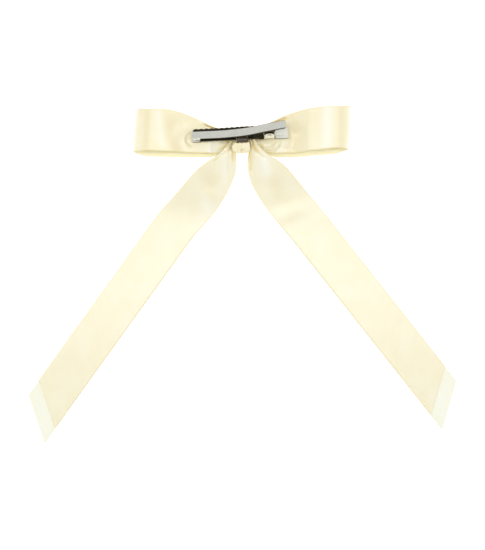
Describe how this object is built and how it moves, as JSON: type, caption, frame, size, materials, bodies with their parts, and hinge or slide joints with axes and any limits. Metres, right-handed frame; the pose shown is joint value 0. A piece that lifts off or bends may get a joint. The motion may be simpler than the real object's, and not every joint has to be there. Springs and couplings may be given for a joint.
{
  "type": "ribbon hair bow on an alligator clip",
  "caption": "Satin ribbon hair bow with folded loops, long doubled tails with slanted ends and a sprung, toothed metal clip across its back.",
  "frame": {"origin": "under the middle of the knot, on the surface that the bow lies on face down", "axes": "+X to the right as seen from the clip side, +Y towards the bow's top edge, +Z away from the face, towards the clip"},
  "size_m": [0.2587, 0.2007, 0.0239],
  "materials": {
    "satin_ribbon": "ivory satin weave with a soft sheen",
    "thread": "matt ivory thread",
    "hot_glue": "cloudy hot glue",
    "plated_steel": "bright nickel plate, lightly brushed",
    "spring_wire": "bright drawn wire"
  },
  "bodies": {
    "bow": {"left_loop": "satin_ribbon", "right_loop": "satin_ribbon", "left_tail_front": "satin_ribbon", "left_tail_back": "satin_ribbon", "right_tail_front": "satin_ribbon", "right_tail_back": "satin_ribbon", "binding_thread": "thread", "glue_pad": "hot_glue", "knot_wrap": "satin_ribbon", "lower_jaw": "plated_steel", "pivot_pin": "plated_steel", "torsion_spring": "spring_wire"},
    "jaw": {"upper_jaw": "plated_steel"}
  },
  "joints": [
    {"name": "clip_hinge", "type": "hinge", "parent": "bow", "child": "jaw", "pos_m": [0.01494, 0.00352, 0.01654], "axis": [-0.0414, 0.9126, -0.4067], "range_deg": [0, 24], "stiffness_Nm_per_rad": 0.05, "springref_deg": -51.57, "deforming": ["torsion_spring"]}
  ]
}
